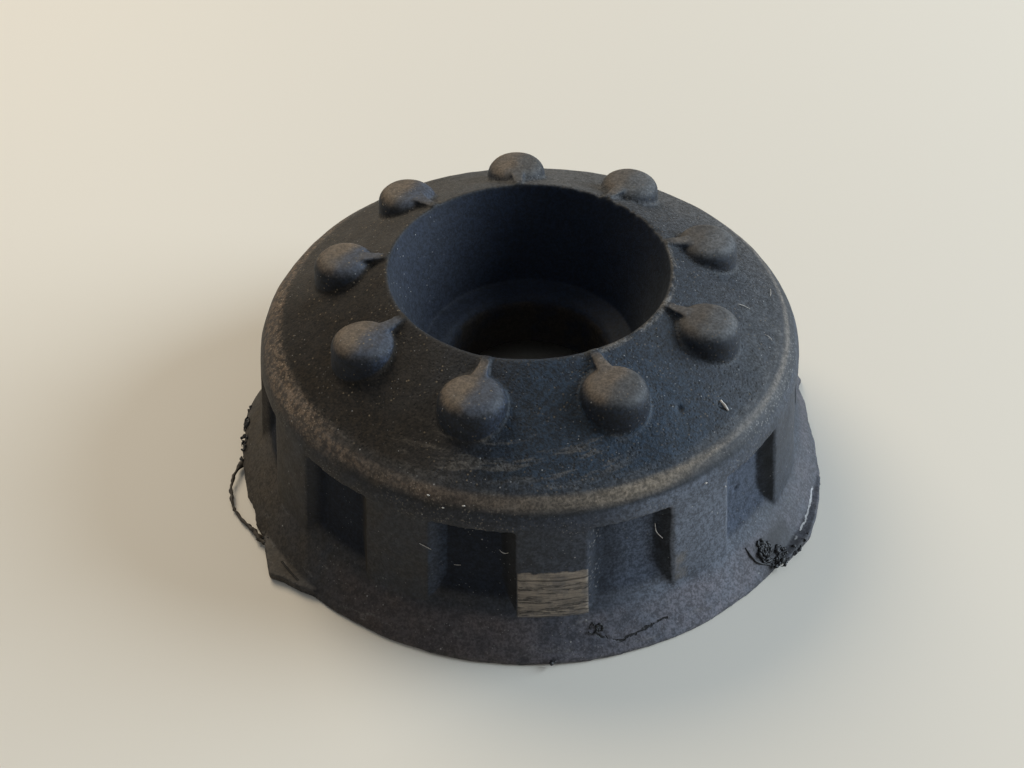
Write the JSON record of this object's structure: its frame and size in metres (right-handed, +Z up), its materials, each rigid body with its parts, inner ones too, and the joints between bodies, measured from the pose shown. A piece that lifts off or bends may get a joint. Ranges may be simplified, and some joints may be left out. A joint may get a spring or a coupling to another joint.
{
  "type": "coil spring rubber mount",
  "caption": "Moulded rubber seat for a vehicle coil spring: a flared skirt, flank pads with pockets between them, and a conical top with knobs and webs round a stepped bore.",
  "frame": {"origin": "On the ring's axis, in the plane that the skirt's lip stands on.", "axes": "+Z points up along the ring's axis, from the lip to the knobs. One knob is centred on +Y, and one flank pad is centred on -Y."},
  "size_m": [0.119, 0.12, 0.042],
  "materials": {
    "rubber": "matte black, dusty, with worn brown edges"
  },
  "bodies": {
    "root": {"spring_mount": "rubber"}
  },
  "joints": []
}
